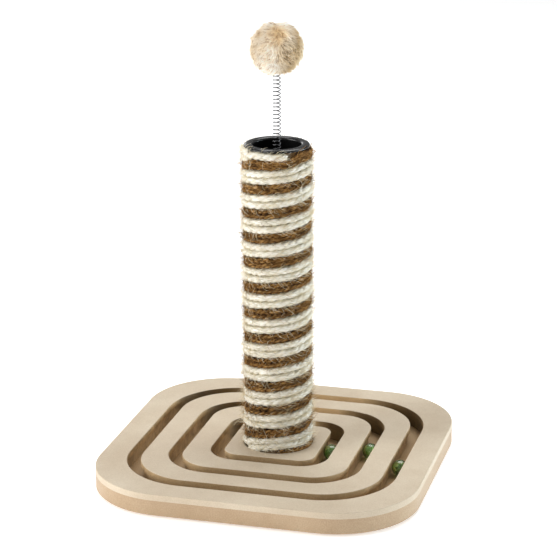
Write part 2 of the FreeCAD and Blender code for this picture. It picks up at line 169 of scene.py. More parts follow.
def pressed_finish(label, pattern, dark, light, roughness, fleck_size, cloud_size, depth, strength):
    """Returns a plain look of pressed fibre, toned by its flecks or clouds and raised by its flecks."""
    material, tree, shader = new_finish(label, Roughness=roughness)
    fibre = use_effect(tree, pressed_fibre, Fleck_Size=fleck_size, Cloud_Size=cloud_size)
    feed(ramp(fibre[pattern], ((0.3, dark), (0.7, light))), shader.inputs["Base Color"])
    raise_surface(shader, fibre["Fleck"], depth, strength)
    return material


pad_rubber = pressed_finish(
    "pad_rubber", "Fleck", colour(34, 33, 32), colour(62, 60, 57), roughness=0.9,
    fleck_size=0.6 * MM, cloud_size=9 * MM, depth=0.2 * MM, strength=1.0)
dress(pad_rubber, "pad_front_left", "pad_front_right", "pad_back_left", "pad_back_right")

# Base board: a thick square of fibreboard with its three tracks milled into the top.
# The sawn sides and the milled floors are a warmer tan than the panels on top.
HALF_SIDE, CORNER_RADIUS = 155 * MM, 79 * MM
WHITE = (1, 1, 1, 1)


def times(first, second):
    """Returns the product of two numbers."""
    return calc("MULTIPLY", first, second)


def plus(first, second):
    """Returns the sum of two numbers."""
    return calc("ADD", first, second)


def minus(first, second):
    """Returns the difference of two numbers."""
    return calc("SUBTRACT", first, second)


def vector_calc(operation, *values):
    """Adds one step of arithmetic on vectors and returns the vector it gives."""
    return next_node("ShaderNodeVectorMath", enumerate(values), operation=operation).outputs[0]


def measured(operation, *values):
    """Adds one step of arithmetic on vectors and returns the number it gives."""
    return next_node("ShaderNodeVectorMath", enumerate(values), operation=operation).outputs["Value"]


def joined(x=0.0, y=0.0, z=0.0):
    """Joins three numbers into a vector."""
    return next_node("ShaderNodeCombineXYZ", {"X": x, "Y": y, "Z": z}).outputs[0]


def parted(vector):
    """Parts a vector into its three numbers."""
    return next_node("ShaderNodeSeparateXYZ", {"Vector": vector}).outputs


def spanned(value, start, end, first=0.0, last=1.0, way="LINEAR"):
    """Goes from a first number to a last one as a value goes from its start to its end, and stays there."""
    return next_node("ShaderNodeMapRange", {
        "Value": value, "From Min": start, "From Max": end, "To Min": first, "To Max": last},
        interpolation_type=way).outputs[0]


def blended(share, first, second, way="MIX"):
    """Mixes two colours by a share."""
    node = next_node("ShaderNodeMix", {0: share, 6: first, 7: second}, data_type="RGBA", blend_type=way)
    return node.outputs[2]


def shaded(tones, shade):
    """Multiplies a colour by another."""
    return blended(1.0, tones, shade, "MULTIPLY")


# Where the cutter has been: all but the outer rim of the base, and of that the upright walls
milled, milled_in, milled_out = new_effect(
    "milled", {"Straight": HALF_SIDE - CORNER_RADIUS, "Corner": CORNER_RADIUS},
    ("Inside", "Wall", "Painted Light", "Corner Shade", "Side Patches"))
cut_place = object_place(milled)
flat_place = vector_calc("MULTIPLY", cut_place, (1, 1, 0))
straight = joined(milled_in["Straight"], milled_in["Straight"])
past_corner = vector_calc("SUBTRACT", vector_calc("ABSOLUTE", flat_place), straight)
past_corner = vector_calc("MAXIMUM", past_corner, (0, 0, 0))
from_rim = minus(milled_in["Corner"], measured("LENGTH", past_corner))
inside = spanned(from_rim, 1.2 * MM, 2 * MM)
feed(inside, milled_out["Inside"])
normal = add_node(milled, "ShaderNodeNewGeometry").outputs["Normal"]
facing_way = parted(vector_calc("ABSOLUTE", normal))
wall = times(spanned(facing_way["Z"], 0.8, 0.3), inside)
feed(wall, milled_out["Wall"])
# The walls round the back corners get painted shade, and the walls of the side runs are darker in patches,
# while the walls of the back runs and the side runs get painted light, so they are paler than the front ones
BACK_CORNER = math.radians(41)
PATCH_FREE = 0.62
flat_parts = parted(flat_place)
either_side = joined(calc("ABSOLUTE", flat_parts["X"]), flat_parts["Y"])
to_corner = (math.sin(BACK_CORNER), math.cos(BACK_CORNER), 0)
turned = measured("DOT_PRODUCT", vector_calc("NORMALIZE", either_side), to_corner)
# Painted shade on the walls round the back corners
feed(times(spanned(turned, 0.945, 0.995), wall), milled_out["Corner Shade"])
# Painted light on the walls that face the sides and on those of the back runs
side = times(facing_way["X"], wall)
behind = spanned(flat_parts["Y"], 30 * MM, 45 * MM)
behind = times(times(behind, facing_way["Y"]), wall)
feed(calc("MAXIMUM", side, behind), milled_out["Painted Light"])
# The walls that face the sides are darker in patches
side_patch = noisy(cut_place, fineness=62.0, detail=3.0, roughness=0.62, distortion=0.8)
side_patch = times(minus(side_patch, PATCH_FREE), side)
feed(plus(side_patch, PATCH_FREE), milled_out["Side Patches"])
# Painted shade round the back corners, and darker patches on the side walls
SHADE_AND_PATCHES = {
    "Corner Shade": ((0.0, WHITE), (1.0, colour(132, 120, 90))),
    "Side Patches": ((0.38, colour(214, 210, 204)), (PATCH_FREE, (1.12, 1.12, 1.12, 1)))}


def fibreboard_finish(label, fleck_size, cloud_size, cloud, depth, face, routed, lit_tones, cut_mask, lit_mask):
    """Returns a board's look, with other tones for its face, where it is routed, and where painted light
    makes that paler.
    """
    material, tree, shader = new_finish(label, Roughness=0.45)
    fibre = use_effect(tree, pressed_fibre, Fleck_Size=fleck_size, Cloud_Size=cloud_size)
    cut = use_effect(tree, milled)
    face, routed, lit_tones = (ramp(fibre["Fleck"], stops) for stops in (face, routed, lit_tones))
    routed = blended(cut[lit_mask], routed, lit_tones)
    for mark, stops in SHADE_AND_PATCHES.items():
        routed = shaded(routed, ramp(cut[mark], stops))
    clouded = ramp(fibre["Cloud"], ((0.3, cloud), (0.7, WHITE)))
    tones = shaded(blended(cut[cut_mask], face, routed), clouded)
    feed(tones, shader.inputs["Base Color"])
    raise_surface(shader, fibre["Fleck"], depth, strength=0.5)
    return material, tree, shader


board_wood = fibreboard_finish(
    "board_wood", fleck_size=1.1 * MM, cloud_size=55 * MM, cloud=colour(236, 230, 222), depth=0.12 * MM,
    face=((0.25, colour(163, 137, 106)), (0.55, colour(180, 155, 124)), (0.8, colour(193, 171, 142))),
    routed=((0.25, colour(158, 131, 96)), (0.55, colour(178, 151, 114)), (0.8, colour(194, 170, 134))),
    # Its walls are painted lighter than its floors: painted light in the shade under the panels
    lit_tones=((0.25, colour(202, 180, 146)), (0.8, colour(226, 208, 176))),
    cut_mask="Inside", lit_mask="Wall")[0]
dress(board_wood, "base_board")

# Washer and bolt: zinc plated steel, pulled up into the pocket under the board.
# They draw the post down on the board, and only the floor sees them.
handled, handled_in, handled_out = new_effect(
    "handled", {"Smudge Size": 12 * MM, "Scratch Size": 1 * MM}, ("Smudge", "Scratch"))
handled_place = object_place(handled)
slanted = next_node("ShaderNodeMapping", {
    "Vector": handled_place, "Rotation": (0.7, 0.4, 0.9), "Scale": (0.06, 1.0, 1.0)})
for name, place, detail in (("Smudge", handled_place, 3.0), ("Scratch", slanted, 2.0)):
    fineness = calc("DIVIDE", 1.0, handled_in[f"{name} Size"])
    feed(noisy(place, fineness, detail).outputs[0], handled_out[name])


def vary_gloss(shader, pattern, smoothest, dullest):
    """Lets a pattern vary the roughness between two values."""
    feed(spanned(pattern, 0.3, 0.7, smoothest, dullest), shader.inputs["Roughness"])


def metal_finish(label, light, dark, smoothest, dullest, smudge_size):
    """Returns a bright metal whose tone and gloss vary with handling."""
    material, tree, shader = new_finish(label, Metallic=1.0)
    wear = use_effect(tree, handled, Smudge_Size=smudge_size, Scratch_Size=smudge_size / 8)
    feed(ramp(wear["Smudge"], ((0.3, dark), (0.7, light))), shader.inputs["Base Color"])
    vary_gloss(shader, wear["Scratch"], smoothest, dullest)
    raise_surface(shader, wear["Scratch"], depth=0.02 * MM, strength=0.4)
    return material


zinc_steel = metal_finish("zinc_steel", colour(206, 208, 205), colour(168, 172, 170),
                          smoothest=0.25, dullest=0.45, smudge_size=5 * MM)
dress(zinc_steel, "bolt_washer", "fixing_bolt")

# Top panels: the frame, two rings and the centre, cut from thin pale fibreboard and glued on the board.
# The slots between them are narrower than the marbles; faces are sanded and the cut edges lightly rounded.
panel_wood, tree, shader = fibreboard_finish(
    "panel_wood", fleck_size=0.9 * MM, cloud_size=48 * MM, cloud=colour(240, 235, 230), depth=0.08 * MM,
    face=((0.25, colour(186, 171, 147)), (0.5, colour(200, 185, 162)), (0.8, colour(211, 199, 178))),
    routed=((0.25, colour(138, 115, 80)), (0.5, colour(156, 133, 98)), (0.8, colour(172, 150, 116))),
    # The slot walls of the side and back runs get painted light, and those round the back corners get painted
    # shade
    lit_tones=((0.25, colour(184, 156, 114)), (0.8, colour(218, 192, 150))), cut_mask="Wall", lit_mask="Painted Light")
wear = use_effect(tree, handled, Smudge_Size=60 * MM, Scratch_Size=4 * MM)
vary_gloss(shader, wear["Smudge"], smoothest=0.48, dullest=0.64)
dress(panel_wood, "frame_panel", "outer_ring_panel", "inner_ring_panel", "centre_panel")

# Marbles: three solid balls of clear green glass, one loose in each track.
# Three twisted petals of brighter green glass are cast into the middle, and the outside is polished all over.
marble_glass, tree, shader = new_finish("marble_glass", IOR=1.52, Transmission_Weight=0.92, Roughness=0.02,
                                        Coat_Weight=0.5, Coat_Roughness=0.02)
wear = use_effect(tree, handled, Smudge_Size=7 * MM, Scratch_Size=1 * MM)
clear = ramp(wear["Smudge"], ((0.3, colour(170, 212, 136)), (0.7, colour(206, 234, 172))))
# Painted shade: the glass darkens towards the rim of the ball as it is seen
edge_on = add_node(tree, "ShaderNodeLayerWeight", {"Blend": 0.45}).outputs["Facing"]
deep = ramp(edge_on, ((0.15, WHITE), (0.5, colour(124, 146, 108)), (0.8, colour(50, 62, 46))))
feed(shaded(clear, deep), shader.inputs["Base Color"])
dress(marble_glass, "outer_marble", "middle_marble", "inner_marble")
petal_glass, tree, shader = new_finish("petal_glass", Roughness=0.3)
wear = use_effect(tree, handled, Smudge_Size=2 * MM, Scratch_Size=0.5 * MM)
bright = ramp(wear["Smudge"], ((0.35, colour(142, 200, 90)), (0.65, colour(240, 250, 212))))
feed(bright, shader.inputs["Base Color"])
PETALS, PETAL_RINGS, PETAL_SIDES = 3, 14, 10
PETAL_REACH, PETAL_WIDTH, PETAL_THICKNESS, PETAL_TWIST = 5.2 * MM, 3.6 * MM, 0.45 * MM, 1.1
MARBLE_TILTS = {"outer": (0.5, 0.3, 0.2), "middle": (-0.4, 0.7, 1.0), "inner": (0.9, -0.2, 2.1)}


def oval(width, depth, height, sides):
    """Returns the places of a level oval round the upright axis, from its half width and half depth."""
    turns = [math.tau * side / sides for side in range(sides)]
    return [Vector((width * math.cos(turn), depth * math.sin(turn), height)) for turn in turns]


def add_loft(mesh, rings):
    """Joins rings of places into one closed skin."""
    loops = [[mesh.verts.new(place) for place in ring] for ring in rings]
    for lower, upper in zip(loops, loops[1:]):
        for side, here in enumerate(lower):
            after = (side + 1) % len(lower)
            mesh.faces.new((here, lower[after], upper[after], upper[side]))
    mesh.faces.new(reversed(loops[0]))
    mesh.faces.new(loops[-1])


def made_piece(label, mesh, material):
    """Turns a mesh in the making into a smooth object with a finish."""
    piece = bpy.data.objects.new(label, bpy.data.meshes.new(label))
    mesh.to_mesh(piece.data)
    mesh.free()
    piece.data.polygons.foreach_set("use_smooth", [True] * len(piece.data.polygons))
    piece.data.materials.append(material)
    bpy.context.scene.collection.objects.link(piece)
    return piece


for label, tilt in MARBLE_TILTS.items():
    low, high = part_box(f"{label}_marble")
    petals = bmesh.new()
    for petal in range(PETALS):
        rings = []
        for ring in range(1, PETAL_RINGS):
            along = -math.cos(math.pi * ring / PETAL_RINGS)
            swell = 1 - along ** 2
            turn = Matrix.Rotation(math.pi * petal / PETALS + PETAL_TWIST * along, 3, "Z")
            outline = oval(PETAL_WIDTH * swell, PETAL_THICKNESS * swell, PETAL_REACH * along, PETAL_SIDES)
            rings.append([turn @ place for place in outline])
        add_loft(petals, rings)
    petals.transform(Matrix.Translation((low + high) / 2) @ Euler(tilt).to_matrix().to_4x4())
    vanes = made_piece(f"{label}_marble_petals", petals, petal_glass)
    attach(vanes, f"{label}_marble")

# Post tube: wound brown card, open at both ends, with a wooden plug and a tee nut in its foot.
# It stands on the board inside the centre panel, and the ropes hide it.
tube_card = pressed_finish(
    "tube_card", "Fleck", colour(132, 100, 66), colour(170, 136, 98), roughness=0.85,
    fleck_size=0.8 * MM, cloud_size=20 * MM, depth=0.1 * MM, strength=0.6)
dress(tube_card, "post_tube")
plug_wood = pressed_finish(
    "plug_wood", "Cloud", colour(196, 160, 112), colour(224, 192, 148), roughness=0.7,
    fleck_size=1.2 * MM, cloud_size=14 * MM, depth=0.1 * MM, strength=0.6)
dress(plug_wood, "post_plug")
dress(zinc_steel, "tee_nut")

# Ropes: two brown and two natural white sisal ropes, each laid from three strands.
# They are wound side by side up the tube, a quarter turn apart, and stapled at both ends.
ROPES = ("brown_rope_lower", "brown_rope_upper", "white_rope_lower", "white_rope_upper")
ROPE_STEP = 5.975 * MM
ROPE_LEAD = len(ROPES) * ROPE_STEP
ROPE_FOOT, ROPE_HEAD = 20.75 * MM, 312.25 * MM
WINDING_RADIUS = 29.55 * MM
FOOT_SPARE = (1.5 * MM, 20 * MM, 4 * MM, 1.5 * MM)  # what each rope runs on past the winding at its foot
HEAD_SPARE = (9 * MM, 9 * MM, 1.5 * MM, 11 * MM)  # and at its head
FRONT_ROPE, FRONT_END = 2, 300 / 360  # the rope that ends in front, and where it does, in turns


def new_shaper(label, numbers, others=()):
    """Starts a geometry node tree with named inputs and a finish, and returns it with both ends."""
    tree = bpy.data.node_groups.new(label, "GeometryNodeTree")
    kinds = {"Geometry": "Geometry", **dict.fromkeys(numbers, "Float"), **dict(others), "Finish": "Material"}
    for name, kind in kinds.items():
        tree.interface.new_socket(name, in_out="INPUT", socket_type=f"NodeSocket{kind}")
    tree.interface.new_socket("Geometry", in_out="OUTPUT", socket_type="NodeSocketGeometry")
    return tree, tree.nodes.new("NodeGroupInput").outputs, tree.nodes.new("NodeGroupOutput").inputs


def shaped(label, tree, sizes, source=None):
    """Runs a tree, on a mesh if one is given, and returns its result as an object with a plain mesh."""
    holder = bpy.data.objects.new(label, source or bpy.data.meshes.new(label))
    modifier = holder.modifiers.new(tree.name, "NODES")
    modifier.node_group = tree
    for item in tree.interface.items_tree:
        if item.in_out == "INPUT" and item.name in sizes:
            modifier[item.identifier] = sizes[item.name]
    bpy.context.scene.collection.objects.link(holder)
    graph = bpy.context.evaluated_depsgraph_get()
    mesh = bpy.data.meshes.new_from_object(holder.evaluated_get(graph), depsgraph=graph)
    holder.modifiers.remove(modifier)
    holder.data = mesh
    return holder


def scaled(vector, size):
    """Returns a vector times a number."""
    return next_node("ShaderNodeVectorMath", {0: vector, "Scale": size}, operation="SCALE").outputs[0]


def straying(place, fineness, detail):
    """Returns a vector that strays to all sides from place to place."""
    return vector_calc("SUBTRACT", noisy(place, fineness, detail).outputs["Color"], (0.5, 0.5, 0.5))


def stored(geometry, label, value, kind="FLOAT_VECTOR"):
    """Keeps a value on the points of a geometry under a name."""
    return next_node("GeometryNodeStoreNamedAttribute", {
        "Geometry": geometry, "Name": label, "Value": value}, data_type=kind, domain="POINT")


def recalled(tree, label, kind="FLOAT_VECTOR"):
    """Returns the value that points keep under a name."""
    return add_node(tree, "GeometryNodeInputNamedAttribute", {"Name": label}, data_type=kind).outputs[0]


def add_winding(size, points_per_turn):
    """Adds a helix round the upright axis, from the tree's own sizes."""
    spiral = next_node("GeometryNodeCurveSpiral", {
        "Resolution": points_per_turn, "Rotations": size["Turns"], "Start Radius": size["Winding Radius"],
        "End Radius": size["Winding Radius"], "Height": times(size["Turns"], size["Lead"]), "Reverse": True})
    return next_node("GeometryNodeTransform", {
        "Geometry": spiral, "Translation": joined(z=size["Foot Height"]),
        "Rotation": joined(z=times(size["Start Turn"], math.tau))})


def round_outline(tree, sides, radius):
    """Adds a round outline to sweep along a line."""
    return add_node(tree, "GeometryNodeCurvePrimitiveCircle", {"Resolution": sides, "Radius": radius})


def swept(line, outline, scale=1.0, closed=False):
    """Sweeps an outline along a line, with or without ends."""
    return next_node("GeometryNodeCurveToMesh", {
        "Curve": line, "Profile Curve": outline, "Scale": scale, "Fill Caps": closed})


def finished(geometry, out, material):
    """Ends a tree: smooth faces, real copies and the finish."""
    smooth = next_node("GeometryNodeSetShadeSmooth", {"Geometry": geometry})
    real = next_node("GeometryNodeRealizeInstances", {"Geometry": smooth})
    dressed = next_node("GeometryNodeSetMaterial", {"Geometry": real, "Material": material})
    feed(dressed.outputs[0], out["Geometry"])


WINDING = ("Winding Radius", "Lead", "Turns", "Start Turn", "Foot Height")
laid_rope, size, out = new_shaper("laid_rope", (
    *WINDING, "Strand Offset", "Strand Radius", "Lay Length", "Wander", "Creep", "Shift", "Row Length",
    "Foot Spare", "Head Spare", "First Row", "End Bulge", "Seed"))
STRANDS = 3
helix = add_winding(size, points_per_turn=96)
path = next_node("GeometryNodeSetCurveNormal", {"Curve": helix}, mode="Z_UP")
strands = next_node("GeometryNodeDuplicateElements", {"Geometry": path, "Amount": STRANDS}, domain="SPLINE")
strand = strands.outputs["Duplicate Index"]
place = add_node(laid_rope, "GeometryNodeSplineParameter").outputs
outward = add_node(laid_rope, "GeometryNodeInputNormal").outputs[0]
run = add_node(laid_rope, "GeometryNodeInputTangent").outputs[0]
upward = vector_calc("CROSS_PRODUCT", outward, run)
to_end = calc("MINIMUM", place["Factor"], minus(1.0, place["Factor"]))
FRAY = 0.0040  # share of the rope's length over which an end comes loose
flare = spanned(to_end, 0.0, FRAY, first=1.7, way="SMOOTHSTEP")
blunt = spanned(to_end, 0.0, FRAY / 4, first=0.5, way="SMOOTHSTEP")
SLACK_LAYER = 5.0  # takes the slack from another layer of the pattern than the drift
slack = noisy(joined(place["Length"], size["Seed"], SLACK_LAYER), fineness=30.0, detail=1.0)
lay_turn = calc("DIVIDE", place["Length"], size["Lay Length"])
strand_turn = plus(calc("DIVIDE", strand, STRANDS), slack)
phase = times(math.tau, plus(lay_turn, strand_turn))
reach = times(size["Strand Offset"], flare)
twist = vector_calc("ADD", scaled(outward, times(reach, calc("COSINE", phase))),
                    scaled(upward, times(reach, calc("SINE", phase))))
drift = straying(joined(place["Length"], size["Seed"]), fineness=22.0, detail=1.0)
drift = parted(scaled(drift, size["Wander"]))
drift = vector_calc("ADD", scaled(upward, drift["X"]), scaled(outward, drift["Y"]))
# The hand that wound it let the rows creep up the post, most of all two thirds of the way up
CREEP = ((0.0, 0.33), (0.064, 0.45), (0.146, 0.42), (0.228, 0.46), (0.392, 0.47), (0.474, 0.58),
         (0.556, 0.76), (0.638, 0.95), (0.72, 0.95), (0.8, 0.86), (0.884, 0.74), (0.966, 0.32), (1.0, 0.0))


def add_curve(value, points):
    """Adds a smooth curve through points of value and share."""
    node = next_node("ShaderNodeFloatCurve", {"Value": value})
    line = node.mapping.curves[0]
    for spot, share in points[1:-1]:
        line.points.new(spot, share)
    line.points[0].location, line.points[-1].location = points[0], points[-1]
    node.mapping.update()
    return node.outputs[0]


creep = times(add_curve(place["Factor"], CREEP), size["Creep"])
row_height = calc("DIVIDE", size["Lead"], len(ROPES))


def rows_away(length, spare):
    """Returns how many rows an end of the winding is away, and how far past it a rope's own end runs on."""
    rows = calc("DIVIDE", minus(length, spare), size["Row Length"])
    return calc("MAXIMUM", rows, 0.0), calc("MINIMUM", rows, 0.0)


FADING_ROWS = 3.0


def faded(off, row):
    """Lessens a row's shift with each row away from its end."""
    share = minus(1.0, calc("DIVIDE", row, FADING_ROWS))
    return times(off, calc("MAXIMUM", share, 0.0))


# At the head each row lies level, and climbs late into the place that the next rope's end leaves
LEVEL_SHARE = 0.62  # of a row's run
rope_length = add_node(laid_rope, "GeometryNodeSplineLength").outputs["Length"]
head_rows, past_head = rows_away(minus(rope_length, place["Length"]), size["Head Spare"])
head_row = calc("FLOOR", head_rows)
head_share = minus(head_rows, head_row)
climb = spanned(head_share, LEVEL_SHARE, 1.0, way="SMOOTHSTEP")
head_level = plus(past_head, faded(minus(head_share, climb), head_row))
# At the foot they lie lower on the left and higher over the brown rope's end in front, in rows off the helix
FOOT_LEVEL = ((0.0, 0.5), (0.125, 0.7), (0.2, 0.7), (0.25, 0.5), (0.35, 0.9), (0.42, 1.0), (0.47, 0.9),
              (0.505, 0.5), (0.55, 0.38), (0.6, 0.1), (0.65, 0.0), (0.7, 0.1), (0.76, 0.4), (0.85, 0.6),
              (0.95, 0.6), (1.0, 0.5))
foot_rows, past_foot = rows_away(place["Length"], size["Foot Spare"])
around = calc("WRAP", plus(size["First Row"], foot_rows), len(ROPES), 0.0)
around = calc("DIVIDE", around, len(ROPES))
foot_off = minus(add_curve(around, FOOT_LEVEL), 0.5)
foot_level = plus(past_foot, faded(foot_off, calc("FLOOR", foot_rows)))
level_up = times(minus(head_level, foot_level), row_height)
# The lowest and the highest row are pressed out, over the hole that the post stands in and from under the rim
bulge = spanned(calc("MINIMUM", foot_rows, head_rows), 1.0, 2.0, first=1.0, last=0.0)
bulge = scaled(outward, times(bulge, size["End Bulge"]))
rise = plus(creep, plus(size["Shift"], level_up))
rise = vector_calc("ADD", joined(z=rise), bulge)
offset = vector_calc("ADD", rise, vector_calc("ADD", twist, drift))
moved = next_node("GeometryNodeSetPosition", {"Geometry": strands, "Offset": offset})
noted = stored(stored(moved, "along", place["Length"], "FLOAT"), "run", run)
outline = round_outline(laid_rope, sides=8, radius=1.0)
outline = stored(outline, "wrap", add_node(laid_rope, "GeometryNodeInputPosition"))
uneven = joined(place["Length"], plus(strand, size["Seed"]))
fullness = spanned(noisy(uneven, fineness=60.0, detail=2.0), 0.25, 0.75, first=0.88, last=1.1)
thick = times(times(size["Strand Radius"], fullness), blunt)
tubes = swept(noted, outline, thick, closed=True)
# The fibres of a strand are spun the other way from the lay, so they end up along the rope
along = recalled(laid_rope, "along", "FLOAT")
spun = times(along, calc("DIVIDE", -math.tau, size["Lay Length"]))
around = next_node("ShaderNodeVectorRotate", {
    "Vector": recalled(laid_rope, "wrap"), "Angle": spun}, rotation_type="Z_AXIS")
around = parted(scaled(around, size["Strand Radius"]))
lay = joined(along, around["X"], around["Y"])
finished(stored(tubes, "lay", lay), out, size["Finish"])


def bent_line(length, sideways, upwards):
    """Adds the line of one hair, which starts at the origin, runs along X and bows out halfway."""
    return next_node("GeometryNodeCurveQuadraticBezier", {
        "Resolution": 3, "Start": (0, 0, 0), "Middle": joined(times(length, 0.5), sideways, upwards),
        "End": joined(length)})


def any_number(tree, least, most, seed):
    """Adds a random number for each point, from a fixed seed."""
    return add_node(tree, "FunctionNodeRandomValue", {
        2: least, 3: most, "Seed": seed}, data_type="FLOAT").outputs[1]


def planted(points, hair, normal, along, swing, lift, scale):
    """Plants a hair on each point along a direction, swung on the surface and lifted off it by two angles."""
    stood = next_node("FunctionNodeAlignRotationToVector", {"Vector": normal}, axis="Z")
    turned = next_node("FunctionNodeAlignRotationToVector", {
        "Rotation": stood, "Vector": along}, axis="X", pivot_axis="Z")
    for angles in (joined(z=swing), joined(y=times(lift, -1.0))):
        turn = next_node("FunctionNodeEulerToRotation", {"Euler": angles})
        turned = next_node("FunctionNodeRotateRotation", {
            "Rotation": turned, "Rotate By": turn}, rotation_space="LOCAL")
    return next_node("GeometryNodeInstanceOnPoints", {
        "Points": points, "Instance": hair, "Rotation": turned, "Scale": scale})


# Loose fibres stand only on the outer side of the ropes
OUTER_SIDE = 0.1  # least share of a face's normal that points away from the post
loose_fibres, size, out = new_shaper("loose_fibres", (
    "Density", "Fibre Length", "Fibre Radius", "Bow", "Least Lift", "Lift", "Swing"), {"Seed": "Int"})
from_axis = vector_calc("MULTIPLY", add_node(loose_fibres, "GeometryNodeInputPosition"), (1, 1, 0))
outside = measured("DOT_PRODUCT", vector_calc("NORMALIZE", from_axis),
                   add_node(loose_fibres, "GeometryNodeInputNormal"))
spread = next_node("GeometryNodeDistributePointsOnFaces", {
    "Mesh": size["Geometry"], "Density": size["Density"], "Seed": size["Seed"],
    "Selection": calc("GREATER_THAN", outside, OUTER_SIDE)})
fibre_place = add_node(loose_fibres, "GeometryNodeSplineParameter").outputs["Factor"]
fibre_line = bent_line(size["Fibre Length"], size["Bow"], size["Bow"])
fibre_outline = round_outline(loose_fibres, sides=3, radius=size["Fibre Radius"])
fibre_hair = swept(fibre_line, fibre_outline, spanned(fibre_place, 0.0, 1.0, first=1.0, last=0.35))
swing = any_number(loose_fibres, times(size["Swing"], -1.0), size["Swing"], seed=1)
lift = any_number(loose_fibres, size["Least Lift"], size["Lift"], seed=2)
growth = any_number(loose_fibres, least=0.5, most=1.3, seed=3)
along_rope = recalled(loose_fibres, "run")
hairs = planted(spread, fibre_hair, spread.outputs["Normal"], along_rope, swing, lift, growth)
finished(hairs, out, size["Finish"])

# How far out a spot lies between the bottom of the grooves and the crowns of the strands
crevice, crevice_in, crevice_out = new_effect("crevice", {
    "Groove Radius": WINDING_RADIUS + 1.2 * MM, "Crown Radius": WINDING_RADIUS + 2.6 * MM}, ("Crown",))
from_axis = vector_calc("MULTIPLY", object_place(crevice), (1, 1, 0))
crown = spanned(measured("LENGTH", from_axis), crevice_in["Groove Radius"], crevice_in["Crown Radius"])
feed(crown, crevice_out["Crown"])


def sisal_finish(label, dark, middle, light, groove_shade):
    """Returns the look of hard leaf fibre, streaked along the strands, with painted shade between them."""
    material, tree, shader = new_finish(label, Roughness=0.85, Specular_IOR_Level=0.12)
    lay = add_node(tree, "ShaderNodeAttribute", attribute_name="lay").outputs["Vector"]
    streaks = []
    for along, across, share in ((70.0, 650.0, 0.6), (110.0, 1900.0, 0.4)):
        drawn = next_node("ShaderNodeMapping", {"Vector": lay, "Scale": (along, across, across)})
        streaks.append(times(noisy(drawn, fineness=1.0, detail=2.0, roughness=0.6), share))
    streak = plus(*streaks)
    tones = ramp(streak, ((0.36, dark), (0.5, middle), (0.63, light)))
    # Painted shade in the grooves between the strands and the rows
    depth = ramp(use_effect(tree, crevice)["Crown"], ((0.0, groove_shade), (1.0, WHITE)))
    feed(shaded(tones, depth), shader.inputs["Base Color"])
    raise_surface(shader, streak, depth=0.8 * MM, strength=0.9)
    return material


def fibre_finish(label, dark, light):
    """Returns the look of single loose fibres."""
    material, tree, shader = new_finish(label, Roughness=0.7, Specular_IOR_Level=0.2)
    tone = noisy(object_place(tree), fineness=160.0, detail=1.0)
    feed(ramp(tone, ((0.35, dark), (0.65, light))), shader.inputs["Base Color"])
    return material


brown_rope = sisal_finish(
    "brown_rope", colour(34, 19, 6), colour(112, 77, 36), colour(198, 156, 98), colour(80, 58, 36))
white_rope = sisal_finish(
    "white_rope", colour(188, 182, 160), colour(234, 229, 215), colour(252, 250, 244), colour(222, 216, 198))
brown_fibre = fibre_finish("brown_fibre", colour(58, 34, 10), colour(196, 148, 84))
white_fibre = fibre_finish("white_fibre", colour(222, 214, 190), colour(252, 249, 241))
straw_fibre = fibre_finish("straw_fibre", colour(224, 206, 164), colour(250, 240, 216))

winding_turns = (ROPE_HEAD - ROPE_FOOT) / ROPE_LEAD
turn_length = math.hypot(math.tau * WINDING_RADIUS, ROPE_LEAD)
ROPE_SHIFT = (0.6 * MM, -0.5 * MM, -0.5 * MM, 0.5 * MM)  # the fuller white rows press the brown ones together
FIRST_ROW = (0.0, 3.0, 2.0, 1.0)  # quarter turn in which each rope starts at the foot
LAYS = {"brown": {"Strand Offset": 1.45 * MM, "Strand Radius": 1.5 * MM, "Lay Length": 16 * MM},
        "white": {"Strand Offset": 1.4 * MM, "Strand Radius": 2.25 * MM, "Lay Length": 22 * MM}}
UNEVEN_ROWS = {"End Bulge": 0.9 * MM, "Wander": 2.0 * MM, "Creep": 6 * MM}
LYING_FIBRES = {"Density": 170000.0, "Fibre Length": 6 * MM, "Fibre Radius": 0.1 * MM, "Bow": 0.5 * MM,
                "Least Lift": 0.02, "Lift": 0.3, "Swing": 0.4}
FUZZ = {"Density": 105000.0, "Fibre Length": 9 * MM, "Fibre Radius": 0.14 * MM, "Bow": 2.0 * MM,
        "Least Lift": 0.15, "Lift": 0.9, "Swing": 0.8}
STRAYS = {"Density": 4200.0, "Fibre Length": 15 * MM, "Fibre Radius": 0.2 * MM, "Bow": 3.5 * MM,
          "Least Lift": 0.02, "Lift": 0.25, "Swing": 1.5, "Seed": 21, "Finish": straw_fibre}
ROPE_FINISHES = {"brown": (brown_rope, brown_fibre, brown_fibre),
                 "white": (white_rope, white_fibre, straw_fibre)}
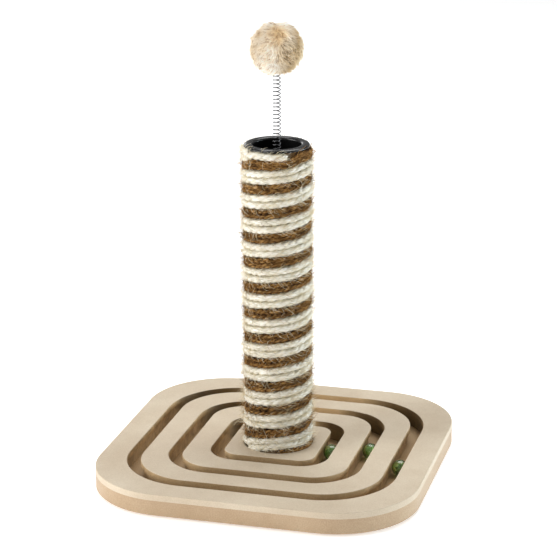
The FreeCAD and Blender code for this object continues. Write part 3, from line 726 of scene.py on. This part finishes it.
for index, label in enumerate(ROPES):
    kind = label.split("_")[0]
    rope_finish, lying_finish, fuzz_finish = ROPE_FINISHES[kind]
    first_turn = FRONT_END - winding_turns - (index - FRONT_ROPE) / len(ROPES)
    rope = shaped(label.replace("_rope_", "_laid_rope_"), laid_rope, {
        **LAYS[kind], **UNEVEN_ROWS, "Winding Radius": WINDING_RADIUS, "Lead": ROPE_LEAD,
        "Turns": winding_turns + (FOOT_SPARE[index] + HEAD_SPARE[index]) / turn_length,
        "Start Turn": first_turn - FOOT_SPARE[index] / turn_length,
        "Foot Height": ROPE_FOOT - ROPE_LEAD * FOOT_SPARE[index] / turn_length,
        "Foot Spare": FOOT_SPARE[index], "Head Spare": HEAD_SPARE[index], "First Row": FIRST_ROW[index],
        "Shift": ROPE_SHIFT[index], "Row Length": turn_length / len(ROPES), "Seed": 10.0 * index,
        "Finish": rope_finish})
    lying = shaped(f"{label}_fibres", loose_fibres, {
        **LYING_FIBRES, "Seed": index, "Finish": lying_finish}, rope.data.copy())
    fuzz = shaped(f"{label}_fuzz", loose_fibres, {
        **FUZZ, "Seed": index + 7, "Finish": fuzz_finish}, rope.data.copy())
    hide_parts(label)
    for piece in (rope, lying, fuzz):
        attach(piece, "base")
    if label == "white_rope_lower":
        strays = shaped("stray_fibres", loose_fibres, STRAYS, rope.data.copy())
        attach(strays, "base")

# Staples: bent galvanised wire, one driven across each rope near each of its ends.
# Their legs go through the rope into the card tube.
staple_steel = metal_finish("staple_steel", colour(150, 150, 146), colour(98, 98, 96),
                            smoothest=0.3, dullest=0.5, smudge_size=3 * MM)
dress(staple_steel, "rope_staples")

# Cap: one moulding of glossy black plastic, pushed into the tube's end up to its broad crowned rim.
# The deep cup hides the foot of the spring, which grips a stud on its floor.
black_plastic, tree, shader = new_finish("black_plastic")
wear = use_effect(tree, handled, Smudge_Size=10 * MM, Scratch_Size=1.2 * MM)
feed(ramp(wear["Smudge"], ((0.3, colour(5, 5, 5)), (0.7, colour(11, 10, 10)))), shader.inputs["Base Color"])
vary_gloss(shader, wear["Smudge"], smoothest=0.22, dullest=0.3)
raise_surface(shader, wear["Scratch"], depth=0.004 * MM, strength=0.3)
# Radius and height in millimetres, from the underside round the rim and the cup to the top of the stud
CAP_PROFILE = (
    (24.3, 286.8), (24.3, 316.0), (30.0, 316.0), (30.5, 316.2), (30.75, 316.7), (30.72, 317.1),
    (30.5, 317.6), (30.05, 318.05), (29.4, 318.4), (28.5, 318.7), (27.5, 318.9), (26.5, 319.0),
    (25.5, 318.95), (24.6, 318.8), (23.8, 318.5), (23.2, 318.05), (22.8, 317.5), (22.58, 316.9),
    (22.5, 316.2), (22.5, 292.0), (22.2, 290.65), (21.2, 289.5), (19.5, 289.0), (2.85, 289.0),
    (2.85, 300.2), (2.05, 301.0))
CAP_SIDES = 128
CUP_RADIUS, CUP_FLOOR, CUP_MOUTH = 22.54 * MM, 289 * MM, 316.8 * MM
cap_mesh = bmesh.new()
add_loft(cap_mesh, [oval(radius * MM, radius * MM, height * MM, CAP_SIDES) for radius, height in CAP_PROFILE])
cap = made_piece("cap_moulding", cap_mesh, black_plastic)
cap.data.set_sharp_from_angle(angle=math.radians(50))
# The inside of the cup is moulded matt
matt_plastic, tree, shader = new_finish("matt_black_plastic", Roughness=0.75, Specular_IOR_Level=0.08)
wear = use_effect(tree, handled, Smudge_Size=14 * MM, Scratch_Size=1.2 * MM)
feed(ramp(wear["Smudge"], ((0.3, colour(4, 4, 4)), (0.7, colour(8, 8, 8)))), shader.inputs["Base Color"])
cap.data.materials.append(matt_plastic)
for face in cap.data.polygons:
    if Vector(face.center[:2]).length < CUP_RADIUS and CUP_FLOOR <= face.center.z < CUP_MOUTH:
        face.material_index = 1
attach(cap, "base")
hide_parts("top_cap")

# Spring: bright steel wire in an open coil, pushed over the stud in the cup and into the ball.
# It is drawn in two halves, split part way up the coil.
SPRING_FOOT, SPRING_SPLIT, SPRING_HEAD = 289.66 * MM, 342 * MM, 397.34 * MM
SPRING_PITCH, SPRING_RADIUS, WIRE_RADIUS = 3.6 * MM, 3.45 * MM, 0.45 * MM
BEND_FOOT, BEND_HEAD = 301 * MM, 384 * MM
SPRING_HALVES = {"spring_lower": ("base", "spring", SPRING_FOOT, SPRING_SPLIT, BEND_FOOT, SPRING_SPLIT),
                 "spring_upper": ("spring", "ball", SPRING_SPLIT, SPRING_HEAD, SPRING_SPLIT, BEND_HEAD)}
spring_steel = metal_finish("spring_steel", colour(104, 104, 106), colour(66, 66, 68),
                            smoothest=0.1, dullest=0.22, smudge_size=2 * MM)
coiled_wire, size, out = new_shaper("coiled_wire", (*WINDING, "Wire Radius"))
wire_outline = round_outline(coiled_wire, sides=10, radius=size["Wire Radius"])
wire = swept(add_winding(size, points_per_turn=40), wire_outline, closed=True)
finished(wire, out, size["Finish"])
for label, (below, above, foot, head, bend_start, bend_end) in SPRING_HALVES.items():
    coil = shaped(label, coiled_wire, {
        "Winding Radius": SPRING_RADIUS, "Lead": SPRING_PITCH, "Turns": (head - foot) / SPRING_PITCH,
        "Start Turn": (foot - SPRING_FOOT) / SPRING_PITCH, "Foot Height": foot, "Wire Radius": WIRE_RADIUS,
        "Finish": spring_steel})
    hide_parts("spring")
    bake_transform(coil)

# Plush ball: a round bag of cream plush, stuffed firm, with a seam drawn in low on its front.
# The pile lies in tufts, parted along the seam and combed down both sides; the spring's end is sewn into it.
BALL_CENTRE = Vector((0, 0, 407 * MM))
BALL_RADIUS, CREASE_DEPTH, LUMP_HEIGHT, SAG_DEPTH = 20.3 * MM, 2.8 * MM, 1.6 * MM, 0.8 * MM
# Across and up the ball, in its radii: the seam with its crease, the spring's hole, and where the bag sags
CREASE_WIDTH, SEAM_WIDTH, SEAM_LEVEL, SEAM_REACH = 0.12, 0.05, -0.45, 0.45
SPRING_HOLE, SAG_START, SAG_REACH = -0.97, -0.35, 0.5
SEAM_HOLD = 1.5
BROAD_LUMPS, SMALL_LUMPS, SMALL_SHARE = 2.4, 5.5, 0.8  # how close they lie, and how high the small are
CREASE_TURN = math.radians(27)
CREASE_SIDE = Vector((math.cos(CREASE_TURN), math.sin(CREASE_TURN), 0))
CREASE_FRONT = Vector((math.sin(CREASE_TURN), -math.cos(CREASE_TURN), 0))
skin_mesh = bmesh.new()
bmesh.ops.create_icosphere(skin_mesh, subdivisions=5, radius=1.0)
seam_hold = []
for vertex in skin_mesh.verts:
    way = vertex.co.normalized()
    across = way.dot(CREASE_SIDE)
    window = max(way.dot(CREASE_FRONT), 0) * math.exp(-((way.z - SEAM_LEVEL) / SEAM_REACH) ** 2)
    crease = window * math.exp(-(across / CREASE_WIDTH) ** 2)
    seam = SEAM_HOLD * window * math.exp(-(across / SEAM_WIDTH) ** 2)
    seam_hold.append(1.0 if way.z < SPRING_HOLE else min(seam, 1.0))
    lumps = noise.noise(BROAD_LUMPS * way) + SMALL_SHARE * noise.noise(SMALL_LUMPS * way)
    sag = min(max((SAG_START - way.z) / SAG_REACH, 0), 1)
    vertex.co = BALL_CENTRE + way * (
        BALL_RADIUS - CREASE_DEPTH * crease + LUMP_HEIGHT * lumps + SAG_DEPTH * sag)
SPOT_REACH = 13 * MM
PARTING_SHADE_SPOT, DARK_TUFT_SPOT = Vector((5.5, -13, 14)) * MM, Vector((15.5, -13.5, -1)) * MM


def near_spot(place, spot, flatten):
    """Returns a mask that fades out round a spot, and reaches further up and down the smaller flatten is."""
    flat = Vector((1, 1, flatten))
    gap = measured("DISTANCE", vector_calc("MULTIPLY", place, flat), spot * flat)
    return spanned(gap, SPOT_REACH * 0.3, SPOT_REACH, first=1.0, last=0.0)


def plush_finish(label, rooted):
    """Returns cream pile, with painted shade where it parts, on one side and at the tufts' roots, and a
    painted glow.
    """
    material, tree, shader = new_finish(label, Roughness=0.8, Sheen_Weight=0.5, Sheen_Roughness=0.6,
                                        Sheen_Tint=colour(255, 240, 214), Emission_Strength=0.11)
    place = vector_calc("SUBTRACT", object_place(tree), BALL_CENTRE)
    tones = noisy(place, fineness=90.0, detail=2.0)
    tones = ramp(tones, ((0.35, colour(253, 245, 229)), (0.65, colour(255, 254, 250))))
    # Painted shade: tan where the pile parts, high on the front
    tones = blended(near_spot(place, PARTING_SHADE_SPOT, flatten=0.5), tones, colour(248, 226, 184))
    # Painted shade and light across the ball: a little darker at the rim on the left, much darker towards the
    # right, and lighter again at the right rim
    shade_across = measured("DOT_PRODUCT", place, CREASE_SIDE + Vector((0, 0, -0.35)))
    tones = shaded(tones, ramp(spanned(shade_across, -24 * MM, 24 * MM), (
        (0.03, colour(234, 224, 208)), (0.22, WHITE), (0.53, WHITE), (0.83, colour(206, 184, 143)),
        (0.98, colour(238, 228, 206)))))
    if rooted:
        # Painted shade at the roots of the tufts
        reach = add_node(tree, "ShaderNodeAttribute", attribute_name="reach").outputs["Fac"]
        tones = shaded(tones, ramp(reach, ((0.0, colour(244, 232, 212)), (0.5, WHITE))))
        tone = add_node(tree, "ShaderNodeAttribute", attribute_name="tone").outputs["Fac"]
        tones = shaded(tones, ramp(tone, ((0.1, colour(174, 144, 96)), (0.4, WHITE))))
        # Tufts turn darker brown round a spot low on the right front
        dark_tufts = times(near_spot(place, DARK_TUFT_SPOT, flatten=0.8), 0.9)
        tones = blended(dark_tufts, tones, ramp(tone, (
            (0.25, colour(112, 82, 42)), (0.5, colour(212, 182, 130)), (0.75, colour(252, 240, 216)))))
    # The pile glows faintly in its own tones: painted light that keeps its shades from going deep
    for socket in ("Base Color", "Emission Color"):
        feed(tones, shader.inputs[socket])
    return material


skin = made_piece("ball_plush", skin_mesh, plush_finish("plush_backing", rooted=False))
# The bag is blown up like cloth, sewn fast along the seam and where the spring goes in
PLUSH_CLOTH = {
    "quality": 6, "mass": 0.001, "air_damping": 5.0, "tension_stiffness": 1.0, "compression_stiffness": 1.0,
    "shear_stiffness": 0.33, "bending_stiffness": 0.05, "use_pressure": True,
    "uniform_pressure_force": 3000.0, "vertex_group_mass": "sewn"}
BLOWING_FRAMES, SWELL_LIMIT = 20, 2 * MM
sewn = skin.vertex_groups.new(name="sewn")
for index, hold in enumerate(seam_hold):
    sewn.add([index], hold, "REPLACE")
stuffing = skin.modifiers.new("stuffing", "CLOTH")
for name, value in PLUSH_CLOTH.items():
    setattr(stuffing.settings, name, value)
stuffing.settings.effector_weights.gravity = 0
for frame_number in range(1, BLOWING_FRAMES + 1):
    bpy.context.scene.frame_set(frame_number)
blown = skin.evaluated_get(bpy.context.evaluated_depsgraph_get()).data
swollen = []
for before, after in zip(skin.data.vertices, blown.vertices):
    swell = after.co - before.co
    swollen.append(before.co + swell * min(1, SWELL_LIMIT / max(swell.length, 1e-9)))
skin.modifiers.remove(stuffing)
skin.vertex_groups.remove(sewn)
bpy.context.scene.frame_set(1)
for vertex, spot in zip(skin.data.vertices, swollen):
    vertex.co = spot
skin.data.update()

plush_pile, size, out = new_shaper(
    "plush_pile", ("Density", "Lock Radius", "Tuft Length", "Tuft Radius", "Bow", "Least Lift", "Lift"),
    {"Hairs": "Int", "Crease Side": "Vector", "Seed": "Int"})
spread = next_node("GeometryNodeDistributePointsOnFaces", {
    "Mesh": size["Geometry"], "Density": size["Density"], "Seed": size["Seed"]})
tuft_place = add_node(plush_pile, "GeometryNodeSplineParameter").outputs["Factor"]
tuft_line = stored(bent_line(size["Tuft Length"], 0.0, size["Bow"]), "reach", tuft_place, "FLOAT")
# The hairs of a lock stand round its root and come together at its tip
GOLDEN_ANGLE = math.radians(137.5)
TIP_CLOSING = 0.75
hairs = next_node("GeometryNodeDuplicateElements", {
    "Geometry": tuft_line, "Amount": size["Hairs"]}, domain="SPLINE")
hair = hairs.outputs["Duplicate Index"]
hair_turn = times(hair, GOLDEN_ANGLE)
round_root = joined(y=calc("COSINE", hair_turn), z=calc("SINE", hair_turn))
hair_share = calc("SQRT", calc("DIVIDE", hair, size["Hairs"]))
closing = minus(1.0, times(tuft_place, TIP_CLOSING))
from_root = times(size["Lock Radius"], times(hair_share, closing))
tuft_line = next_node("GeometryNodeSetPosition", {"Geometry": hairs, "Offset": scaled(round_root, from_root)})
tuft_outline = round_outline(plush_pile, sides=3, radius=size["Tuft Radius"])
tuft = swept(tuft_line, tuft_outline, spanned(tuft_place, 0.0, 1.0, first=1.0, last=0.15))
# The pile is combed away from the parting and down, and strays a little everywhere
PARTING_STRAY, COMB_STRAY, LIFT_STRAY = 9 * MM, 3.0, 1.2
spot = add_node(plush_pile, "GeometryNodeInputPosition").outputs[0]
whirl = straying(spot, fineness=150.0, detail=2.0)
whirl_parts = parted(whirl)
parting = plus(measured("DOT_PRODUCT", spot, size["Crease Side"]), times(whirl_parts["X"], PARTING_STRAY))
outward_share = spanned(parting, -2 * MM, 2 * MM, first=-1.0, last=1.0)
comb = vector_calc("ADD", scaled(size["Crease Side"], outward_share), (0, 0, -1.0))
comb = vector_calc("ADD", comb, scaled(whirl, COMB_STRAY))
lift = any_number(plush_pile, size["Least Lift"], size["Lift"], seed=2)
lift = plus(lift, times(whirl_parts["Y"], LIFT_STRAY))
# Tufts that cling together share a tone and a length
clump = spanned(noisy(spot, fineness=330.0, detail=1.0), 0.32, 0.68)
tone = plus(times(clump, 0.3), any_number(plush_pile, least=0.0, most=0.7, seed=5))
growth = any_number(plush_pile, least=0.65, most=1.2, seed=3)
growth = times(growth, plus(times(clump, 0.45), 0.75))
toned = stored(spread, "tone", tone, "FLOAT")
swing = any_number(plush_pile, least=-0.5, most=0.5, seed=1)
tufts = planted(toned, tuft, spread.outputs["Normal"], comb, swing, lift, growth)
finished(tufts, out, size["Finish"])
plush_fur = plush_finish("plush_fur", rooted=True)
# Tufts on a square metre, hairs in a lock and how far they stand apart, their length and radius, lifts, seed
COATS = {
    "ball_pile": (1.6e6, 1, 0.0, 4.7 * MM, 0.36 * MM, 0.1, 0.4, 4),
    "ball_undercoat": (1.2e6, 1, 0.0, 3.2 * MM, 0.3 * MM, 0.1, 0.4, 9),
    "ball_locks": (0.262e6, 7, 0.7 * MM, 5.6 * MM, 0.24 * MM, 0.2, 0.65, 12),
    "ball_fuzz": (0.8e6, 1, 0.0, 5.4 * MM, 0.08 * MM, 0.4, 1.2, 15)}
for label, (density, hairs, spacing, length, thickness, least_lift, lift, seed) in COATS.items():
    coat = shaped(label, plush_pile, {
        "Density": density, "Hairs": hairs, "Lock Radius": spacing, "Tuft Length": length,
        "Tuft Radius": thickness, "Bow": length / 5, "Least Lift": least_lift, "Lift": lift,
        "Crease Side": CREASE_SIDE, "Seed": seed, "Finish": plush_fur}, skin.data.copy())
    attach(coat, "ball")
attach(skin, "ball")
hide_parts("ball_cover", "ball_stuffing")

# Studio: a plain white floor, soft light from all sides and from above, and two small lamps.
# The camera stands a little to the right of the front and looks down on the base.
FLOOR_REACH = 8.0
floor = bpy.data.objects.new("floor", bpy.data.meshes.new("floor"))
corners = ((-1, -1), (1, -1), (1, 1), (-1, 1))
floor.data.from_pydata([(x * FLOOR_REACH, y * FLOOR_REACH, 0) for x, y in corners], [], [(0, 1, 2, 3)])
floor_paint = new_finish("floor_paint", Base_Color=(0.95, 0.95, 0.945, 1), Roughness=0.9,
                         Emission_Color=WHITE, Emission_Strength=0.42)[0]
floor.data.materials.append(floor_paint)
bpy.context.scene.collection.objects.link(floor)

world = bpy.data.worlds.new("studio")
world.use_nodes = True
world.node_tree.nodes["Background"].inputs["Color"].default_value = WHITE
world.node_tree.nodes["Background"].inputs["Strength"].default_value = 0.3
bpy.context.scene.world = world
bpy.context.scene.view_settings.view_transform = "Standard"


def add_softbox(label, place, target, width, height, power, tint=(1, 1, 1)):
    """Hangs a soft light that faces a point."""
    light = bpy.data.lights.new(label, "AREA")
    light.color = tint
    light.shape, light.size, light.size_y, light.energy = "RECTANGLE", width, height, power
    box = bpy.data.objects.new(label, light)
    box.location = place
    box.rotation_euler = (Vector(target) - Vector(place)).to_track_quat("-Z", "Y").to_euler()
    bpy.context.scene.collection.objects.link(box)


add_softbox("left_softbox", (-1.6, -0.95, 0.7), (0, 0, 0.12), width=1.4, height=1.0, power=27)
add_softbox("right_softbox", (1.8, 0.6, 0.32), (0, 0, 0.1), width=1.2, height=0.5, power=27,
            tint=(0.79, 0.92, 1.0))
add_softbox("top_softbox", (0.1, 0.9, 2.2), (0, 0, 0.1), width=2.0, height=1.4, power=37)
add_softbox("front_softbox", (-1.2, -2.4, 0.4), (0, 0, 0.12), width=1.6, height=0.6, power=8)
add_softbox("back_softbox", (-1.5, 2.2, 0.75), (0, 0, 0.3), width=1.0, height=0.8, power=5)
add_softbox("camera_lamp", (-0.1, -2.0, 1.1), (0, 0, 0.1), width=0.22, height=0.22, power=2)
add_softbox("key_lamp", (-0.7, -0.5, 1.9), (0, 0, 0.1), width=0.16, height=0.16, power=4)

# The photograph's view, fitted on the base: angles in degrees, the shift in half sides of the base
VIEW_YAW, VIEW_PITCH, VIEW_ROLL = (math.radians(angle) for angle in (-15.221, 17.712, 0.254))
VIEW_SHIFT = Vector((-0.0063, -1.0299, 12.9921))
BASE_TOP = 23 * MM
FOCAL_PIXELS, PICTURE_WIDTH = 2081.43, 557
unturn = Matrix.Rotation(-VIEW_YAW, 3, "Z")
right = unturn @ Vector((1, 0, 0))
up = unturn @ Vector((0, math.sin(VIEW_PITCH), math.cos(VIEW_PITCH)))
ahead = unturn @ Vector((0, math.cos(VIEW_PITCH), -math.sin(VIEW_PITCH)))
stand = -(right * VIEW_SHIFT.x + up * VIEW_SHIFT.y + ahead * VIEW_SHIFT.z) * HALF_SIDE
lens = bpy.data.cameras.new("camera")
lens.sensor_width = 36.0
lens.lens = lens.sensor_width * FOCAL_PIXELS / PICTURE_WIDTH
lens.clip_end = 50.0
camera = bpy.data.objects.new("camera", lens)
rolled_right = right * math.cos(VIEW_ROLL) - up * math.sin(VIEW_ROLL)
rolled_up = right * math.sin(VIEW_ROLL) + up * math.cos(VIEW_ROLL)
camera.matrix_world = Matrix.Translation(stand + Vector((0, 0, BASE_TOP))) @ Matrix(
    (rolled_right, rolled_up, -ahead)).transposed().to_4x4()
bpy.context.scene.collection.objects.link(camera)
bpy.context.scene.camera = camera
